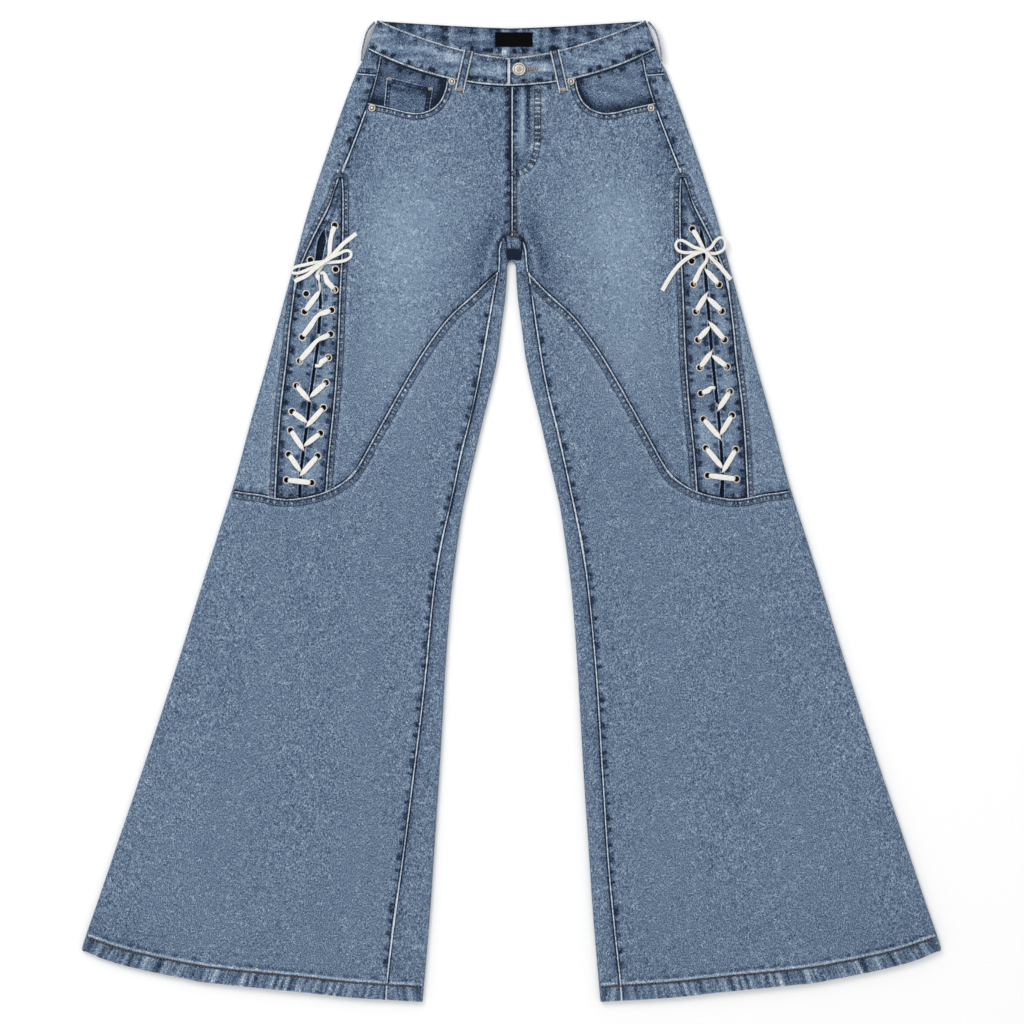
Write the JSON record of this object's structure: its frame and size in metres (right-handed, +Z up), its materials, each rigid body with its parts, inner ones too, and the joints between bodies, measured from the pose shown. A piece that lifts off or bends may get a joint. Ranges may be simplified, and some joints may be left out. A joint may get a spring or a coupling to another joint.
{
  "type": "wide leg jeans",
  "caption": "Wide flared denim jeans laid flat, with curved knee seams and laced side gores over an open slit.",
  "frame": {"origin": "centre of the flat garment's outline, on the surface that it lies on", "axes": "+X to the wearer's left, +Y to the waist, +Z up out of the front"},
  "size_m": [0.9584, 1.0993, 0.0107],
  "materials": {
    "denim": "stone-washed mid-blue denim",
    "denim_shaded": "the same denim, less faded",
    "lace_tape": "flat woven off-white tape",
    "ivory_metal": "pale brushed metal",
    "label_black": "bare black woven label"
  },
  "bodies": {
    "root": {"back_leg_left": "denim", "back_leg_right": "denim", "back_panel_left": "denim", "back_panel_right": "denim", "back_yoke_left": "denim", "back_yoke_right": "denim", "belt_loop_front_left": "denim", "belt_loop_front_right": "denim", "belt_loop_side_left": "denim", "belt_loop_side_right": "denim", "coin_pocket": "denim", "fly_shield": "denim", "front_leg_left": "denim", "front_leg_right": "denim", "front_panel_left": "denim", "front_panel_right": "denim", "lace_left": "lace_tape", "lace_right": "lace_tape", "lace_strip_back_left": "denim_shaded", "lace_strip_back_right": "denim_shaded", "lace_strip_front_left": "denim_shaded", "lace_strip_front_right": "denim_shaded", "neck_label": "label_black", "pocket_facing_left": "denim_shaded", "pocket_facing_right": "denim_shaded", "rivet_left_1": "ivory_metal", "rivet_left_2": "ivory_metal", "rivet_right_1": "ivory_metal", "rivet_right_2": "ivory_metal", "waist_button": "ivory_metal", "waistband": "denim"}
  },
  "joints": []
}
